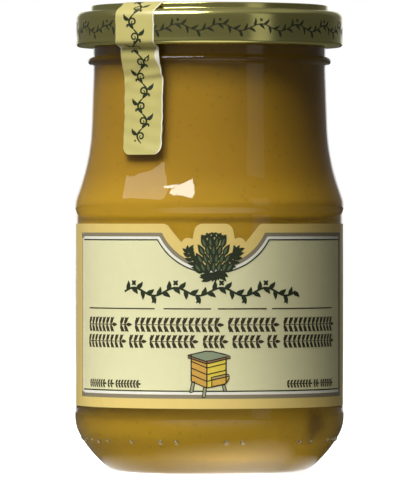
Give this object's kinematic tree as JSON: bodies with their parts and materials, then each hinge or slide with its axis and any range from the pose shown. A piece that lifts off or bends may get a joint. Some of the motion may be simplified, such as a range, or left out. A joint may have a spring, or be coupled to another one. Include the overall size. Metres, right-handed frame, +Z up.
{
  "type": "mustard jar",
  "caption": "Waisted glass jar of mustard with a gold twist-off lid, a wrapped die-cut paper label and a foil-paper seal strip over the lid's edge.",
  "frame": {"origin": "centre of the ring that the jar stands on, on the table's plane", "axes": "+Z up along the jar's axis; the middle of the label faces -Y, turned 1.8 degrees towards +X; the seal strip is 35 degrees round from the front towards -X"},
  "size_m": [0.0614, 0.0614, 0.1062],
  "materials": {
    "clear_glass": "clear moulded soda-lime glass, glossy",
    "mustard": null,
    "gold_lacquered_tinplate": "transparent gold lacquer over tinplate, glossy",
    "label_paper": "cream coated paper with gold, taupe and dark green print, semi-gloss",
    "strip_paper": "pale gold metallised paper, satin"
  },
  "bodies": {
    "root": {"jar_glass": "clear_glass", "mustard": "mustard", "lid": "gold_lacquered_tinplate", "label": "label_paper", "seal_strip": "strip_paper"}
  },
  "joints": []
}
